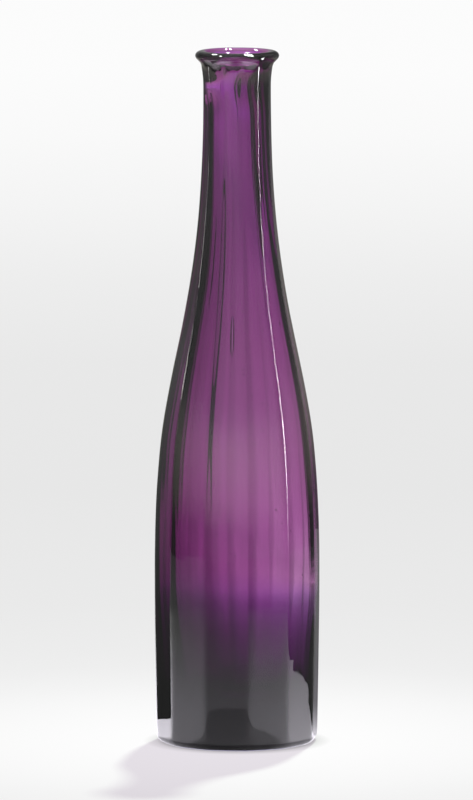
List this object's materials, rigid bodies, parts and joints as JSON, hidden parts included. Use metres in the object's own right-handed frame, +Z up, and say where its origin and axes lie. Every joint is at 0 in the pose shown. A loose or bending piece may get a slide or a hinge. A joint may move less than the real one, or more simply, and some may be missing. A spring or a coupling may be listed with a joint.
{
  "type": "panelled glass bottle",
  "caption": "Tall panelled toilet-water bottle of deep amethyst glass, with a sloping shoulder, a long neck and a flared, rolled lip round an open mouth.",
  "frame": {"origin": "centre of the foot, on the plane that the bottle stands on", "axes": "+Z up along the bottle's axis; +X and +Y are square to two of its flat panels"},
  "size_m": [0.0652, 0.0652, 0.28],
  "materials": {
    "amethyst_glass": "fire-polished deep amethyst, clear, slightly wavy"
  },
  "bodies": {
    "root": {"bottle_body": "amethyst_glass", "rolled_lip": "amethyst_glass"}
  },
  "joints": []
}
